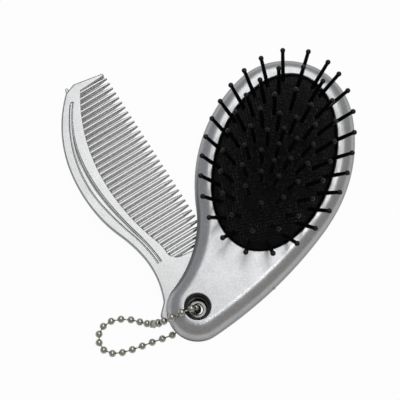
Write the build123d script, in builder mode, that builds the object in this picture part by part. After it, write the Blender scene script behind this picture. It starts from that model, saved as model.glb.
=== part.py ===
from build123d import *
import os
from math import atan2, degrees, radians, sqrt, tan, tanh

# Folding pocket brush with a swing-out comb and a ball chain, in millimetres.
# The origin is the centre of the flat back under the cushion, +Z leaves the back
# towards the pins and +Y runs along the head away from the pivot.

# Outline of the body, six arcs that run into one another
head_half_width = 25.8
head_half_length = 37.8
head_widest_y = 1.5
crown_radius = 22.5
flank_radius = 150.0
waist_radius = 37.5
pivot_x = -9.5
pivot_y = -54.0
end_radius = 10.1

# Heights through the body
body_height = 14.0
end_lift = 3.4
cover_end_thickness = 1.7
comb_thickness = 2.6
slot_gap = 0.3
plate_thickness = 1.2
lift_start = 22.0
lift_run = 15.0

# Shells
shell_wall = 1.6
shoulder_radius = 5.2
cover_wall = 1.6
cover_edge_radius = 3.0
fit_gap = 0.2
rim_break = 0.4
recess_rim_break = 0.35
rail_width = 1.2
rail_radii = (32.0, 48.0, 64.0)
rail_reach_x = 8.0
wall_start_x = 0.5
gate_nub_radius = 0.4
gate_nub_length = 0.5
gate_nub_turn = 9.3

# Cushion and its oval opening
opening_half_width = 19.6
opening_half_length = 31.5
cushion_flange = 1.3
flange_thickness = 1.1
cushion_skin = 1.2
dome_rise = 5.4
dome_foot = 1.4
collar_wall = 1.0

# Pins
pin_radius = 0.62
pin_ball_radius = 0.86
pin_length = 12.6
pin_head_radius = 1.0
pin_head_thickness = 0.5
pin_head_gap = 0.7
pin_hole_gap = 0.05
outer_ring_inset = 2.4
centre_row_pitch = 5.5

# Rings of pins: width and length as shares of the outer ring's, count, phase, lean at the tips,
# and how far the pins crowd towards the top of the right side, in pitches
pin_ring_layout = {
    "pins_outer_ring": (1.0, 1.0, 26, 0.0, 28.0, 0.6),
    "pins_second_ring": (0.74, 0.84, 20, 0.0, 18.0, 0.0),
    "pins_third_ring": (0.48, 0.6, 14, 0.0, 9.0, 0.0),
    "pins_fourth_ring": (0.23, 0.38, 8, 0.5, 4.5, 0.0),
}
crowd_start = 0.54
crowd_peak = 0.904
crowd_end = 0.977

# Screws
screw_radius = 0.9
screw_head_radius = 1.35
screw_head_height = 0.6
screw_hole_gap = 0.05
screw_clear_gap = 0.2
screw_bite = 2.2
screw_well = 0.5
boss_radius = 2.2
drive_width = 0.4
drive_length = 1.8
drive_depth = 0.35
cover_screw_turns = (60.0, 5.0, 290.0)
plate_screw_turns = (120.0, 165.0, 250.0)

# Pivot
recess_radius = 4.2
seat_radius = 6.2
seat_thickness = 1.4
bush_floor = 1.2
bush_rim_drop = 0.9
bush_rim_round = 0.2
bush_upper_bore = 3.6
bush_lower_bore = 3.15
bush_step_depth = 1.6
sleeve_radius = 3.6
running_gap = 0.06
eyelet_radius = 2.15
eyelet_bore = 1.7
eyelet_flange_radius = 3.0
eyelet_flange_thickness = 0.9
eyelet_flange_round = 0.3
eyelet_roll_radius = 2.8
eyelet_roll_thickness = 0.6
eyelet_roll_round = 0.25
eyelet_washer_radius = 3.6
eyelet_washer_thickness = 0.35
spacer_radius = 5.0
spacer_thickness = 0.25

# Comb, drawn in its own plane: x across towards the teeth, y away from the pivot
comb_shown_turn = 50.0
comb_edge_radius = 0.6
comb_corner_radius = 1.2
comb_hub_radius = 7.2
comb_nub_width = 1.1
comb_nub_reach = 1.2
comb_nub_spot = (1.9, 88.0)
comb_nub_turn = 70.0
comb_nub_round = 0.4
comb_outer_turn = 66.2
comb_outer_edge = [(-8.2, 7.8), (-6.05, 24.0), (-8.95, 34.5), (-11.65, 44.0), (-11.75, 62.0), (1.05, 87.3)]
comb_inner_turn = -122.0
comb_inner_edge = [(6.2, 85.4), (-3.5, 52.7), (0.8, 26.0), (1.6, 21.2), (4.8, 17.9)]
comb_base_end = (14.2, 16.6)
comb_tab = [(-9.9, 1.2), (-11.7, 4.3)]
guard_top = [(5.0, 88.9), (14.8, 87.2)]
guard_tip = (15.7, 86.5)
guard_low = (15.1, 85.85)
hub_right_turn = -14.0
hub_left_turn = 220.0
tooth_pitch = 2.0625
tooth_count = 33
tooth_first_y = 84.9
tooth_tip_x = 16.0
tooth_width = 1.5
tooth_shoulder_width = 1.3
tooth_end_length = 3.4
tooth_thickness = 2.4
tooth_ridge = 0.45
tooth_side = 1.4
tooth_end_share = 0.45
tooth_embed = 1.3

# Lines on the comb's top face: a narrow groove, and a hollow beside it with one steep side,
# whose profile gives shares of the way down its two sides with the depth reached there
groove_turn = -126.4
groove_line = [(0.52, 83.0), (-8.54, 62.0), (-8.59, 46.0), (-5.1, 32.0), (-2.94, 19.5)]
groove_half_width = 0.3
groove_floor_half_width = 0.08
groove_depth = 0.9
rib_width = 0.4
hollow_turn = -126.9
hollow_line = [(1.44, 83.0), (-6.72, 62.0), (-6.44, 46.0), (-3.72, 32.0), (-1.79, 19.5)]
hollow_floor_half_width = 0.08
hollow_side_width = 0.4
hollow_profile = [(0.0, 0.0), (0.4, 0.12), (0.75, 0.35), (1.0, 0.75)]
cap_depth = 0.6
cap_top = (1.15, 83.55)

# Ball chain; the route's points are from the pivot's axis, with z from the resting surface
bead_radius = 1.2
bead_mean_pitch = 3.4
bunch_centre = 0.535
bunch_reach = 0.09
bunch_strength = 0.2
link_radius = 0.35
link_gap = 0.02
connector_wall = 0.3
connector_gap = 0.1
connector_overhang = 1.6
connector_mouth = 0.95
connector_slit = 0.9
connector_bead = 6
arc_share = 0.45
chain_route = [
    (0.0, 0.0, 7.1),
    (0.0, 0.0, 16.0),
    (-6.2, -5.6, 16.3),
    (-8.9, -7.9, 13.9),
    (-12.2, -9.2, 7.6),
    (-16.0, -9.2, 3.2),
    (-20.6, -9.2, 1.25),
    (-25.0, -10.6, 1.25),
    (-28.4, -13.6, 1.25),
    (-28.9, -18.2, 1.25),
    (-26.0, -21.6, 1.25),
    (-21.6, -21.7, 1.25),
    (-16.4, -18.3, 1.25),
    (-10.6, -13.6, 1.25),
    (-5.2, -9.8, 1.25),
    (-2.0, -5.4, 1.25),
    (0.0, 0.0, 1.25),
    (0.0, 0.0, 6.9),
]

# Levels that follow from the heights
slot_floor = end_lift + cover_end_thickness
comb_bottom = slot_floor + slot_gap
comb_top = comb_bottom + comb_thickness
slot_ceiling = comb_top + slot_gap
plate_top = slot_ceiling + plate_thickness
lip_bottom = body_height - shell_wall
seat_top = slot_ceiling + seat_thickness
flange_top = lip_bottom - running_gap
flange_bottom = flange_top - flange_thickness
dome_base = body_height - dome_foot
dome_half_width = opening_half_width - fit_gap
dome_half_length = opening_half_length - fit_gap
pocket_half_width = opening_half_width + cushion_flange + fit_gap
pocket_half_length = opening_half_length + cushion_flange + fit_gap
beyond = 1.0

pivot = Vector(pivot_x, pivot_y)
os.makedirs("parts", exist_ok=True)


def finish(piece, name):
    """Label a finished piece and write it out."""
    piece.part.label = name
    export_step(piece.part, f"parts/{name}.step")


def turn_of(start, end):
    """Direction from one point to another, in degrees from +X."""
    return degrees(atan2(end.Y - start.Y, end.X - start.X))


def circles_meet_left(centre_a, radius_a, centre_b, radius_b):
    """The left one of the two points where two circles meet."""
    gap = centre_b - centre_a
    along = (radius_a**2 - radius_b**2 + gap.length**2) / (2 * gap.length)
    across = sqrt(radius_a**2 - along**2)
    unit = gap.normalized()
    side = Vector(-unit.Y, unit.X)
    foot = centre_a + unit * along
    points = [foot + side * across, foot - side * across]
    return min(points, key=lambda point: point.X)


# Centres of the outline's arcs
crown_to_widest = head_half_length - crown_radius - head_widest_y
side_radius = (head_half_width**2 + crown_to_widest**2 - crown_radius**2) / (
    2 * (head_half_width - crown_radius)
)
crown_centre = Vector(0, head_half_length - crown_radius)
right_centre = Vector(head_half_width - side_radius, head_widest_y)
left_centre = Vector(side_radius - head_half_width, head_widest_y)
flank_centre = circles_meet_left(
    right_centre, flank_radius - side_radius, pivot, flank_radius - end_radius
)
waist_centre = circles_meet_left(
    left_centre, side_radius + waist_radius, pivot, end_radius + waist_radius
)


def outline_arc(centre, radius, start, end):
    """Anticlockwise arc of the outline between two directions."""
    CenterArc(centre, radius, start, (end - start) % 360)


def body_outline(inset):
    """Closed outline of the body, moved inwards by inset."""
    crown_right = turn_of(right_centre, crown_centre)
    crown_left = turn_of(left_centre, crown_centre)
    left_waist = turn_of(left_centre, waist_centre)
    end_waist = turn_of(pivot, waist_centre)
    end_flank = turn_of(flank_centre, pivot)
    right_flank = turn_of(flank_centre, right_centre)
    outline_arc(crown_centre, crown_radius - inset, crown_right, crown_left)
    outline_arc(left_centre, side_radius - inset, crown_left, left_waist)
    CenterArc(waist_centre, waist_radius + inset, left_waist - 180, -((left_waist - end_waist) % 360))
    outline_arc(pivot, end_radius - inset, end_waist, end_flank)
    outline_arc(flank_centre, flank_radius - inset, end_flank, right_flank)
    outline_arc(right_centre, side_radius - inset, right_flank, crown_right)


def outline_slab(inset, bottom, top, top_round=0.0, bottom_round=0.0):
    """Slab with the body's outline, its edges rounded as asked."""
    with BuildPart() as slab:
        with BuildSketch(Plane.XY.offset(bottom)):
            with BuildLine():
                body_outline(inset)
            make_face()
        extrude(amount=top - bottom)
        if top_round:
            fillet(slab.faces().sort_by(Axis.Z)[-1].edges(), radius=top_round)
        if bottom_round:
            fillet(slab.faces().sort_by(Axis.Z)[0].edges(), radius=bottom_round)
    return slab.part


def oval_prism(half_width, half_length, bottom, top):
    """Upright oval prism about the origin."""
    with BuildPart() as prism:
        with BuildSketch(Plane.XY.offset(bottom)):
            Ellipse(half_width, half_length)
        extrude(amount=top - bottom)
    return prism.part


def dome_cap(half_width, half_length, rise, base):
    """Upper half of an ellipsoid that stands on the level base."""
    with BuildPart() as cap:
        Sphere(1.0, arc_size1=0, align=(Align.CENTER, Align.CENTER, Align.MIN))
        scale(by=(half_width, half_length, rise))
    return cap.part.moved(Location((0, 0, base)))


def below_underside(raise_by):
    """Everything under the back's underside, the underside raised by raise_by."""
    start_y = pivot_y + lift_start
    end_y = start_y - lift_run
    middle = (start_y - lift_run / 2, end_lift / 2 + raise_by)
    front_y = head_half_length + beyond
    back_y = pivot_y - end_radius - beyond
    low = -body_height
    with BuildPart() as region:
        with BuildSketch(Plane.YZ):
            with BuildLine():
                Line((front_y, low), (front_y, raise_by))
                Line((front_y, raise_by), (start_y, raise_by))
                TangentArc((start_y, raise_by), middle, tangent=(-1, 0))
                TangentArc((end_y, end_lift + raise_by), middle, tangent=(1, 0))
                Line((end_y, end_lift + raise_by), (back_y, end_lift + raise_by))
                Line((back_y, end_lift + raise_by), (back_y, low))
                Line((back_y, low), (front_y, low))
            make_face()
        extrude(amount=head_half_width + beyond, both=True)
    return region.part


with BuildLine() as inner_wall_line:
    body_outline(shell_wall)


def screw_spot(turn):
    """Place halfway between the cushion's pocket and the shell's wall, in one direction."""
    outward = Vector(1, 0).rotate(Axis.Z, turn)
    ray = Axis((0, 0, 0), outward)
    meetings = [edge.intersect(ray) for edge in inner_wall_line.edges()]
    reaches = [Vector(point.X, point.Y).dot(outward) for met in meetings if met for point in met]
    wall_reach = min(reach for reach in reaches if reach > 0)
    pocket_reach = 1 / sqrt((outward.X / pocket_half_width) ** 2 + (outward.Y / pocket_half_length) ** 2)
    return outward * (wall_reach + pocket_reach) / 2


cover_spots = [screw_spot(turn) for turn in cover_screw_turns]
plate_spots = [screw_spot(turn) for turn in plate_screw_turns]


def at_height(spots, height):
    """The same places at one height."""
    return [(spot.X, spot.Y, height) for spot in spots]


def countersunk_screw(length):
    """Self-tapping screw standing on its head's flat face at z = 0, with a drive slot."""
    with BuildPart() as screw:
        Cone(
            screw_head_radius,
            screw_radius,
            screw_head_height,
            align=(Align.CENTER, Align.CENTER, Align.MIN),
        )
        Cylinder(screw_radius, length, align=(Align.CENTER, Align.CENTER, Align.MIN))
        chamfer(screw.faces().sort_by(Axis.Z)[-1].edges(), length=screw_radius / 2)
        Box(
            drive_length,
            drive_width,
            drive_depth,
            align=(Align.CENTER, Align.CENTER, Align.MIN),
            mode=Mode.SUBTRACT,
        )
        Box(
            drive_width,
            drive_length,
            drive_depth,
            align=(Align.CENTER, Align.CENTER, Align.MIN),
            mode=Mode.SUBTRACT,
        )
    return screw.part


def ring_part(outer, inner, bottom, top):
    """Flat ring or tube about the pivot's axis."""
    with BuildPart() as ring:
        with BuildSketch(Plane((pivot_x, pivot_y, bottom))):
            Circle(outer)
            Circle(inner, mode=Mode.SUBTRACT)
        extrude(amount=top - bottom)
    return ring.part


# Front shell: rounded housing, hollow behind, with the cushion's collar and the pivot's recess
shell_outside = outline_slab(0, slot_ceiling, body_height, top_round=shoulder_radius)
shell_hollow = outline_slab(
    shell_wall, slot_ceiling - beyond, lip_bottom, top_round=shoulder_radius - shell_wall
)
collar = oval_prism(
    pocket_half_width + collar_wall, pocket_half_length + collar_wall, plate_top, lip_bottom
)
pocket = oval_prism(pocket_half_width, pocket_half_length, slot_ceiling - beyond, lip_bottom)
opening = oval_prism(
    opening_half_width, opening_half_length, lip_bottom - beyond, body_height + beyond
)

with BuildPart() as bosses:
    with Locations(*at_height(cover_spots + plate_spots, plate_top)):
        Cylinder(
            boss_radius,
            lip_bottom - plate_top,
            align=(Align.CENTER, Align.CENTER, Align.MIN),
        )
    add(shell_outside, mode=Mode.INTERSECT)

with BuildPart() as front_shell:
    add(shell_outside)
    add(shell_hollow, mode=Mode.SUBTRACT)
    add(collar)
    add(bosses.part)
    with Locations((pivot_x, pivot_y, slot_ceiling)):
        Cylinder(
            seat_radius,
            lip_bottom - slot_ceiling,
            align=(Align.CENTER, Align.CENTER, Align.MIN),
        )
    add(pocket, mode=Mode.SUBTRACT)
    add(opening, mode=Mode.SUBTRACT)
    with Locations((pivot_x, pivot_y, body_height)):
        CounterBoreHole(
            radius=sleeve_radius + fit_gap,
            counter_bore_radius=recess_radius,
            counter_bore_depth=body_height - seat_top,
        )
    with Locations(*at_height(cover_spots + plate_spots, plate_top)):
        Cylinder(
            screw_radius + screw_hole_gap,
            screw_bite,
            align=(Align.CENTER, Align.CENTER, Align.MIN),
            mode=Mode.SUBTRACT,
        )
    mouths = front_shell.faces().filter_by(Plane.XY).sort_by(Axis.Z)[-1].inner_wires().sort_by(SortBy.LENGTH)
    fillet(mouths[-1].edges(), radius=rim_break)
    fillet(mouths[0].edges(), radius=recess_rim_break)
    nub_turn = turn_of(flank_centre, pivot) + gate_nub_turn
    gate_nub_height = slot_ceiling + gate_nub_radius + fit_gap
    nub_spot = flank_centre + Vector(flank_radius, 0).rotate(Axis.Z, nub_turn)
    outward = Vector(1, 0).rotate(Axis.Z, nub_turn)
    with Locations(Plane((nub_spot.X, nub_spot.Y, gate_nub_height), z_dir=outward)):
        Cylinder(gate_nub_radius, 2 * gate_nub_length)

finish(front_shell, "front_shell")


# Inner plate: the floor between the cushion's air space and the comb's slot
with BuildPart() as inner_plate:
    with BuildSketch(Plane.XY.offset(slot_ceiling)):
        with BuildLine():
            body_outline(shell_wall + fit_gap)
        make_face()
        with Locations((pivot_x, pivot_y)):
            Circle(seat_radius + fit_gap, mode=Mode.SUBTRACT)
    extrude(amount=plate_thickness)
    with Locations(*at_height(cover_spots + plate_spots, slot_ceiling)):
        Cylinder(
            screw_radius + screw_clear_gap,
            plate_thickness,
            align=(Align.CENTER, Align.CENTER, Align.MIN),
            mode=Mode.SUBTRACT,
        )
    with Locations(*at_height(plate_spots, slot_ceiling)):
        Cone(
            screw_head_radius + screw_clear_gap,
            screw_radius + screw_clear_gap,
            screw_head_height,
            align=(Align.CENTER, Align.CENTER, Align.MIN),
            mode=Mode.SUBTRACT,
        )
finish(inner_plate, "inner_plate")


# Back cover: tray with the wall on the side that the comb doesn't use, rails and posts
cover_outside = outline_slab(0, 0, slot_floor, bottom_round=cover_edge_radius)
underside = below_underside(0)
cover_hollow = outline_slab(
    cover_wall, cover_wall, slot_ceiling + beyond, bottom_round=cover_edge_radius - cover_wall
)
cover_thick = below_underside(cover_end_thickness)

with BuildPart() as cover_cavity:
    add(cover_hollow)
    add(cover_thick, mode=Mode.SUBTRACT)

with BuildPart() as cover_rails:
    with BuildSketch(Plane.XY.offset(cover_wall)):
        with BuildLine():
            body_outline(cover_wall / 2)
        make_face()
        with Locations((rail_reach_x - head_half_width, head_widest_y)):
            Rectangle(2 * head_half_width, 4 * head_half_length, mode=Mode.INTERSECT)
        with BuildSketch(mode=Mode.INTERSECT):
            for rail_radius in rail_radii:
                with Locations((pivot_x, pivot_y)):
                    Circle(rail_radius + rail_width / 2)
                    Circle(rail_radius - rail_width / 2, mode=Mode.SUBTRACT)
    extrude(amount=slot_floor - cover_wall)

with BuildPart() as back_cover:
    add(cover_outside)
    with BuildSketch(Plane.XY.offset(slot_floor)):
        with BuildLine():
            body_outline(0)
        make_face()
        with Locations((wall_start_x, pivot_y)):
            Rectangle(
                2 * head_half_width,
                2 * head_half_length - 2 * pivot_y,
                align=(Align.MIN, Align.MIN),
                mode=Mode.INTERSECT,
            )
    extrude(amount=slot_ceiling - slot_floor)
    add(underside, mode=Mode.SUBTRACT)
    add(cover_cavity.part, mode=Mode.SUBTRACT)
    add(cover_rails.part)
    with Locations(*at_height(cover_spots, cover_wall)):
        Cylinder(
            boss_radius,
            slot_ceiling - cover_wall,
            align=(Align.CENTER, Align.CENTER, Align.MIN),
        )
    with Locations(*at_height(cover_spots, 0)):
        Cylinder(
            screw_radius + screw_clear_gap,
            slot_ceiling,
            align=(Align.CENTER, Align.CENTER, Align.MIN),
            mode=Mode.SUBTRACT,
        )
        Cylinder(
            screw_head_radius + screw_clear_gap,
            screw_well,
            align=(Align.CENTER, Align.CENTER, Align.MIN),
            mode=Mode.SUBTRACT,
        )
    with Locations(*at_height(cover_spots, screw_well)):
        Cone(
            screw_head_radius + screw_clear_gap,
            screw_radius + screw_clear_gap,
            screw_head_height,
            align=(Align.CENTER, Align.CENTER, Align.MIN),
            mode=Mode.SUBTRACT,
        )
    with Locations((pivot_x, pivot_y, slot_floor)):
        Hole(eyelet_radius + screw_hole_gap)
    with Locations((pivot_x, pivot_y, end_lift)):
        Cylinder(
            eyelet_washer_radius + fit_gap,
            eyelet_roll_thickness + eyelet_washer_thickness,
            align=(Align.CENTER, Align.CENTER, Align.MIN),
            mode=Mode.SUBTRACT,
        )
finish(back_cover, "back_cover")


# Screws: three from the back through the posts, three that hold the inner plate
long_screw = countersunk_screw(plate_top + screw_bite - screw_hole_gap - screw_well)
short_screw = countersunk_screw(plate_thickness + screw_bite - screw_hole_gap)

with BuildPart() as cover_screws:
    with Locations(*at_height(cover_spots, screw_well)):
        add(long_screw)
finish(cover_screws, "cover_screws")

with BuildPart() as plate_screws:
    with Locations(*at_height(plate_spots, slot_ceiling)):
        add(short_screw)
finish(plate_screws, "plate_screws")


# Pivot bush: black stepped cup in the recess, with the sleeve that the comb turns on
bush_top = body_height - bush_rim_drop
bush_bottom = slot_floor + fit_gap
bush_floor_top = bush_bottom + bush_floor

with BuildPart() as pivot_bush:
    with BuildSketch(Plane((pivot_x, pivot_y, 0), x_dir=(1, 0, 0), z_dir=(0, -1, 0))):
        with BuildLine():
            Polyline(
                (eyelet_radius + screw_hole_gap, bush_bottom),
                (sleeve_radius, bush_bottom),
                (sleeve_radius, seat_top),
                (recess_radius - running_gap, seat_top),
                (recess_radius - running_gap, bush_top),
                (bush_upper_bore, bush_top),
                (bush_upper_bore, bush_top - bush_step_depth),
                (bush_lower_bore, bush_top - bush_step_depth),
                (bush_lower_bore, bush_floor_top),
                (eyelet_radius + screw_hole_gap, bush_floor_top),
                close=True,
            )
        make_face()
    revolve(axis=Axis((pivot_x, pivot_y, 0), (0, 0, 1)))
    rim_edges = pivot_bush.faces().filter_by(Plane.XY).sort_by(Axis.Z)[-1].edges()
    fillet(rim_edges, radius=bush_rim_round)
finish(pivot_bush, "pivot_bush")


# Eyelet: barrel with a rolled flange above and a rolled end below
roll_bottom = end_lift
roll_top = roll_bottom + eyelet_roll_thickness
flange_level = bush_floor_top

with BuildPart() as eyelet:
    with BuildSketch(Plane((pivot_x, pivot_y, 0), x_dir=(1, 0, 0), z_dir=(0, -1, 0))):
        with BuildLine():
            Polyline(
                (eyelet_bore, roll_bottom),
                (eyelet_roll_radius, roll_bottom),
                (eyelet_roll_radius, roll_top),
                (eyelet_radius, roll_top),
                (eyelet_radius, flange_level),
                (eyelet_flange_radius, flange_level),
                (eyelet_flange_radius, flange_level + eyelet_flange_thickness),
                (eyelet_bore, flange_level + eyelet_flange_thickness),
                close=True,
            )
        make_face()
    revolve(axis=Axis((pivot_x, pivot_y, 0), (0, 0, 1)))
    end_faces = eyelet.faces().filter_by(Plane.XY).sort_by(Axis.Z)
    fillet(end_faces[-1].edges(), radius=eyelet_flange_round)
    fillet(end_faces[0].edges(), radius=eyelet_roll_round)
finish(eyelet, "eyelet")


# Thin rings at the pivot
spacer_lift = (slot_gap - spacer_thickness) / 2
spacer_bore = sleeve_radius + running_gap
lower_spacer_bottom = slot_floor + spacer_lift
upper_spacer_bottom = comb_top + spacer_lift
washer_ring = ring_part(
    eyelet_washer_radius, eyelet_radius + screw_hole_gap, roll_top, roll_top + eyelet_washer_thickness
)
lower_ring = ring_part(
    spacer_radius, spacer_bore, lower_spacer_bottom, lower_spacer_bottom + spacer_thickness
)
upper_ring = ring_part(
    spacer_radius, spacer_bore, upper_spacer_bottom, upper_spacer_bottom + spacer_thickness
)

with BuildPart() as eyelet_washer:
    add(washer_ring)
finish(eyelet_washer, "eyelet_washer")

with BuildPart() as lower_spacer:
    add(lower_ring)
finish(lower_spacer, "lower_spacer")

with BuildPart() as upper_spacer:
    add(upper_ring)
finish(upper_spacer, "upper_spacer")


# Comb, in its own plane about the pivot, turned to the pose that is shown
def comb_plane(height):
    """Plane of the comb at one height: local x along the teeth, local y along the comb."""
    across = Vector(1, 0).rotate(Axis.Z, comb_shown_turn)
    return Plane((pivot_x, pivot_y, height), x_dir=across, z_dir=(0, 0, 1))


def arcs_through(points, turn):
    """Arcs through the points, each running on from the one before, the first one at turn."""
    heading = Vector(1, 0).rotate(Axis.Z, turn)
    for start, end in zip(points, points[1:]):
        arc = TangentArc(start, end, tangent=heading)
        heading = arc % 1


def hub_point(turn):
    """Point on the comb's hub in one direction."""
    spot = Vector(comb_hub_radius, 0).rotate(Axis.Z, turn)
    return (spot.X, spot.Y)


with BuildPart() as spine:
    with BuildSketch(comb_plane(comb_bottom)) as spine_outline:
        with BuildLine():
            arcs_through(comb_outer_edge, comb_outer_turn)
            Polyline(comb_outer_edge[-1], *guard_top)
            ThreePointArc(guard_top[-1], guard_tip, guard_low)
            Line(guard_low, comb_inner_edge[0])
            arcs_through(comb_inner_edge, comb_inner_turn)
            Polyline(comb_inner_edge[-1], comb_base_end, hub_point(hub_right_turn))
            ThreePointArc(hub_point(hub_right_turn), (0, -comb_hub_radius), hub_point(hub_left_turn))
            Polyline(hub_point(hub_left_turn), *comb_tab, comb_outer_edge[0])
        make_face()
        base_corners = spine_outline.vertices().filter_by(lambda corner: corner.Y < comb_inner_edge[-1][1])
        fillet(base_corners, radius=comb_corner_radius)
    extrude(amount=comb_thickness)
    fillet(spine.faces().sort_by(Axis.Z)[-1].edges(), radius=comb_edge_radius)
    fillet(spine.faces().sort_by(Axis.Z)[0].edges(), radius=comb_edge_radius)


def tooth_section(x, width, share):
    """Section of a tooth at x: upright sides, sloped in to a narrow ridge above and below."""
    middle_height = comb_bottom + comb_thickness / 2
    across = Vector(1, 0).rotate(Axis.Z, comb_shown_turn)
    along = Vector(0, 1).rotate(Axis.Z, comb_shown_turn)
    origin = Vector(pivot_x, pivot_y, middle_height) + across * x
    side = (width / 2, tooth_side / 2 * share)
    ridge = (tooth_ridge / 2 * share, tooth_thickness / 2 * share)
    upper = [side, ridge, (-ridge[0], ridge[1]), (-side[0], side[1])]
    lower = [(-a, -b) for a, b in upper]
    with BuildSketch(Plane(origin, x_dir=along, z_dir=across)) as section:
        Polygon(*upper, *lower, align=None)
    return section.sketch


def tooth(start_x):
    """Tooth at local y = 0, from inside the spine to its blunt tip."""
    shoulder_x = tooth_tip_x - tooth_end_length
    sections = [
        tooth_section(start_x, tooth_width, 1),
        tooth_section(shoulder_x, tooth_shoulder_width, 1),
        tooth_section(tooth_tip_x, tooth_shoulder_width * tooth_end_share, tooth_end_share),
    ]
    with BuildPart() as blade:
        add(sections)
        loft(ruled=True)
    return blade.part


with BuildLine() as root_line:
    arcs_through(comb_inner_edge, comb_inner_turn)


def root_x(y):
    """Where the inner edge of the spine crosses one height along the comb."""
    level = Axis((0, y, 0), (1, 0, 0))
    meetings = [edge.intersect(level) for edge in root_line.edges()]
    return min(point.X for met in meetings if met for point in met)


teeth = []
for i in range(tooth_count):
    tooth_y = tooth_first_y - i * tooth_pitch
    shift = Vector(0, tooth_y).rotate(Axis.Z, comb_shown_turn)
    blade = tooth(root_x(tooth_y) - tooth_embed)
    teeth.append(blade.moved(Location((shift.X, shift.Y, 0))))

def shifted(line, across):
    """A line of points and its first direction, moved along the teeth."""
    points, turn = line
    return [(x + across, y) for x, y in points], turn


def between(first, second, share):
    """The line at some share of the way from one line to another."""
    points = [((1 - share) * a[0] + share * b[0], a[1]) for a, b in zip(first[0], second[0])]
    return points, (1 - share) * first[1] + share * second[1]


def strip(depth, left, right):
    """Strip between two lines, at one depth under the comb's top face."""
    with BuildSketch(comb_plane(comb_top - depth)) as flat:
        with BuildLine():
            arcs_through(*left)
            arcs_through(*right)
            Line(left[0][0], right[0][0])
            Line(left[0][-1], right[0][-1])
        make_face()
    return flat.sketch


groove = (groove_line, groove_turn)
hollow = (hollow_line, hollow_turn)
rib_edge = shifted(groove, groove_half_width + rib_width)
slope_foot = shifted(hollow, -hollow_floor_half_width)
side_foot = shifted(hollow, hollow_floor_half_width)
side_top = shifted(hollow, hollow_side_width)
groove_strips = [
    strip(0, shifted(groove, -groove_half_width), shifted(groove, groove_half_width)),
    strip(groove_depth, shifted(groove, -groove_floor_half_width), shifted(groove, groove_floor_half_width)),
]
hollow_strips = [
    strip(depth, between(rib_edge, slope_foot, share), between(side_top, side_foot, share))
    for share, depth in hollow_profile
]
cap_left = (groove_line[0][0] - groove_half_width, groove_line[0][1])
cap_right = (hollow_line[0][0] + hollow_side_width, hollow_line[0][1])

with BuildPart() as nub:
    with BuildSketch(comb_plane(comb_bottom + comb_nub_round)):
        with Locations(comb_nub_spot):
            SlotOverall(comb_nub_reach + comb_nub_width, comb_nub_width, rotation=comb_nub_turn)
    extrude(amount=comb_thickness - 2 * comb_nub_round)
    fillet(nub.faces().sort_by(Axis.Z)[-1].edges(), radius=comb_nub_round)
    fillet(nub.faces().sort_by(Axis.Z)[0].edges(), radius=comb_nub_round)

with BuildPart() as comb:
    add(spine.part)
    add(nub.part)
    add(groove_strips)
    loft(ruled=True, mode=Mode.SUBTRACT)
    add(hollow_strips)
    loft(ruled=True, mode=Mode.SUBTRACT)
    with BuildSketch(comb_plane(comb_top)):
        with BuildLine():
            Line(cap_left, cap_right)
            ThreePointArc(cap_right, cap_top, cap_left)
        make_face()
    extrude(amount=-cap_depth, mode=Mode.SUBTRACT)
    with Locations((pivot_x, pivot_y, comb_top)):
        Hole(sleeve_radius + running_gap)
    add(teeth)
finish(comb, "comb")


# Cushion: thin domed skin with a flange under the lip, and a hole for each pin
def crowding(share):
    """How much of the crowding a pin has, by its share of the way round from the head's end."""
    rise = (share - crowd_start) / (crowd_peak - crowd_start)
    fall = (crowd_end - share) / (crowd_end - crowd_peak)
    return max(0, min(1, rise, fall))


def pin_ring(width_share, length_share, count, phase, lean, crowd):
    """Places of one oval ring of pins, leaning outwards by lean at their tips."""
    ring_width = (opening_half_width - outer_ring_inset) * width_share
    ring_length = (opening_half_length - outer_ring_inset) * length_share
    with BuildLine():
        oval = EllipticalCenterArc((0, 0), ring_width, ring_length, 90, arc_size=360)
    places = []
    for i in range(count):
        turns = (i + phase + crowd * crowding(i / count)) / count
        spot = oval.position_at(turns % 1)
        places.append(pin_place(spot.X, spot.Y, lean))
    return places


def pin_place(x, y, lean):
    """Plane of a pin at its foot on the dome, its z direction along the pin."""
    share = min(1.0, (x / dome_half_width) ** 2 + (y / dome_half_length) ** 2)
    height = dome_base + dome_rise * sqrt(1 - share)
    outward = Vector(x / dome_half_width**2, y / dome_half_length**2)
    if outward.length > 0:
        outward = outward.normalized()
    direction = outward * tan(radians(lean)) + Vector(0, 0, 1)
    return Plane(Vector(x, y, height), z_dir=direction)


pin_rings = {name: pin_ring(*layout) for name, layout in pin_ring_layout.items()}
pin_rings["pins_centre_row"] = [pin_place(0, step * centre_row_pitch, 0) for step in (-1, 0, 1)]
all_pin_places = [place for places in pin_rings.values() for place in places]

dome_outside = dome_cap(dome_half_width, dome_half_length, dome_rise, dome_base)
dome_inside = dome_cap(
    dome_half_width - cushion_skin,
    dome_half_length - cushion_skin,
    dome_rise - cushion_skin,
    dome_base,
)
dome_wall = oval_prism(dome_half_width, dome_half_length, flange_bottom, dome_base)
cushion_flange_disc = oval_prism(
    opening_half_width + cushion_flange,
    opening_half_length + cushion_flange,
    flange_bottom,
    flange_top,
)
air_space = oval_prism(
    dome_half_width - cushion_skin,
    dome_half_length - cushion_skin,
    flange_bottom - beyond,
    dome_base,
)

pin_head_drop = cushion_skin + pin_head_gap + pin_head_thickness

with BuildPart() as cushion:
    add(dome_wall)
    add(cushion_flange_disc)
    add(dome_outside)
    add(air_space, mode=Mode.SUBTRACT)
    add(dome_inside, mode=Mode.SUBTRACT)
    with Locations(*all_pin_places):
        Cylinder(
            pin_radius + pin_hole_gap,
            2 * pin_head_drop,
            mode=Mode.SUBTRACT,
        )
finish(cushion, "cushion")


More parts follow.
